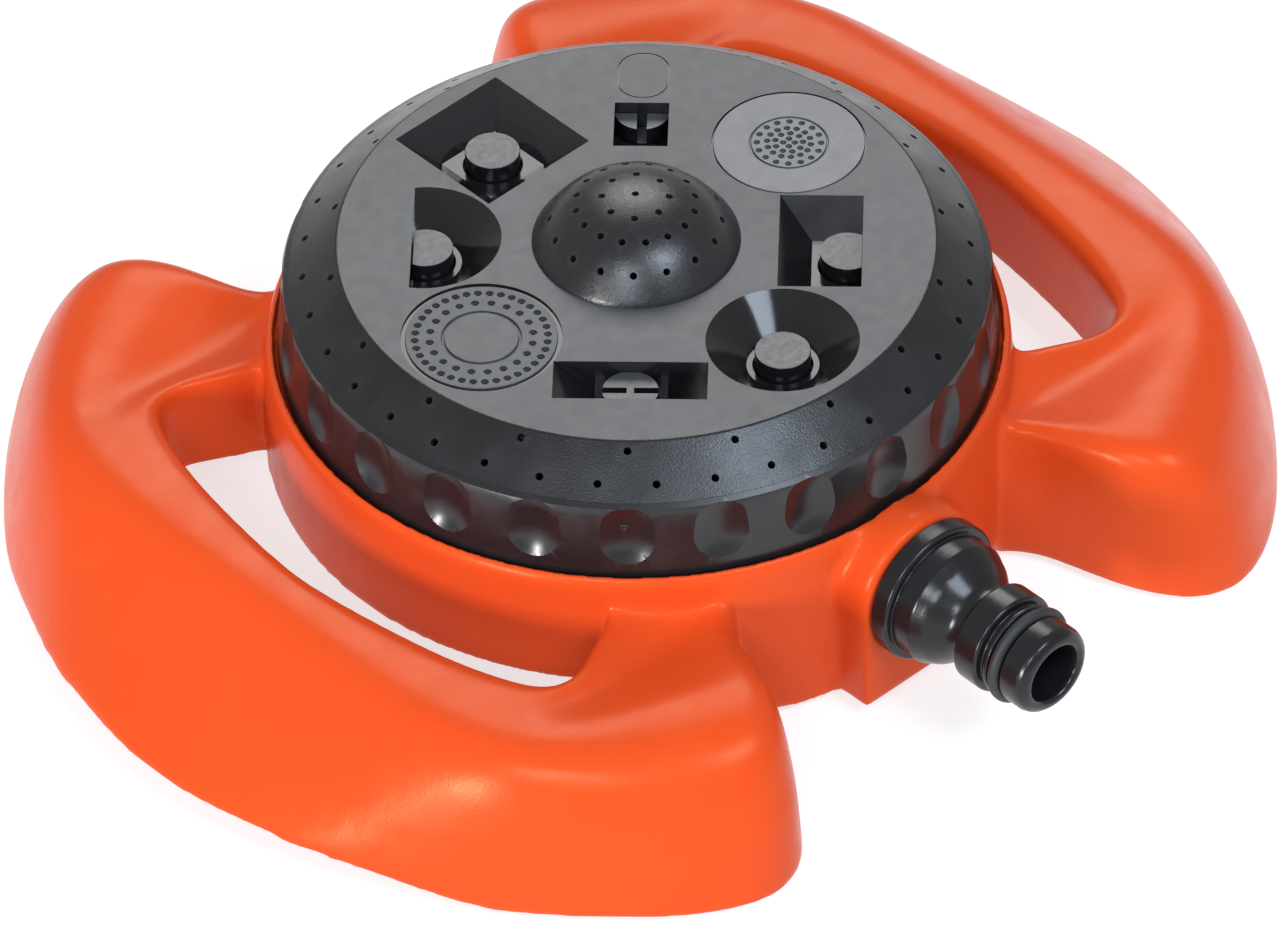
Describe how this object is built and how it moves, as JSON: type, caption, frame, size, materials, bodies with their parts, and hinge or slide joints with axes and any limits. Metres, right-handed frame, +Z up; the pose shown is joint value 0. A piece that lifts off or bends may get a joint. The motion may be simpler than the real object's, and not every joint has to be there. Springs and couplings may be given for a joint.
{
  "type": "lawn sprinkler",
  "caption": "Static lawn sprinkler with a turning pattern dial on a winged base and a click-fit hose connector.",
  "frame": {"origin": "on the dial's axis, on the ground plane that the four feet and the bottom cover rest on", "axes": "+Z up along the dial's axis; -Y out along the hose connector; X across the two wings"},
  "size_m": [0.2184, 0.1849, 0.063],
  "materials": {
    "orange_plastic": "satin moulded plastic, faint grain",
    "black_plastic": "plain moulded plastic",
    "connector_plastic": "satin black plastic, turned lines",
    "white_plastic": "smooth acetal",
    "rubber": "matt rubber",
    "steel": "bright stainless steel",
    "face_plastic": "satin grey-black plastic, fine spark texture",
    "grip_plastic": "glossy black plastic",
    "dome_plastic": "satin black plastic, fine spark texture",
    "disc_plastic": "satin grey plastic",
    "core_plastic": "satin grey-black plastic"
  },
  "bodies": {
    "base": {"base_shell": "orange_plastic", "bottom_cover": "black_plastic", "cover_screws": "steel", "spindle_bush": "white_plastic", "water_duct": "black_plastic", "inlet_connector": "connector_plastic", "inlet_washer": "rubber", "coupling_o_ring": "rubber", "seal_spring": "steel", "click_spring": "steel"},
    "dial": {"dial_cap": "face_plastic", "grip_ring": "grip_plastic", "dome_rose": "dome_plastic", "mist_disc": "disc_plastic", "ring_disc": "disc_plastic", "full_circle_core": "core_plastic", "quarter_core": "core_plastic", "half_circle_core": "core_plastic", "square_core": "core_plastic", "strip_core": "core_plastic", "slot_core": "core_plastic", "distribution_plate": "black_plastic", "plate_gasket": "rubber", "plate_screws": "steel", "spindle_screw": "steel", "spindle_washer": "steel"},
    "seal": {"port_seal": "white_plastic"},
    "click": {"click_plunger": "white_plastic"}
  },
  "joints": [
    {"name": "dial_turn", "type": "hinge", "parent": "base", "child": "dial", "pos_m": [0, 0, 0.032], "axis": [0, 0, 1], "continuous": true},
    {"name": "seal_float", "type": "slide", "parent": "base", "child": "seal", "axis": [0, 0, 1], "range_m": [-0.0008, 0], "stiffness_N_per_m": 400, "springref_m": 0.0005, "deforming": ["seal_spring"]},
    {"name": "click_press", "type": "slide", "parent": "base", "child": "click", "axis": [0, 0, 1], "range_m": [-0.0004, 0.0012], "stiffness_N_per_m": 500, "springref_m": 0.002, "deforming": ["click_spring"]}
  ]
}
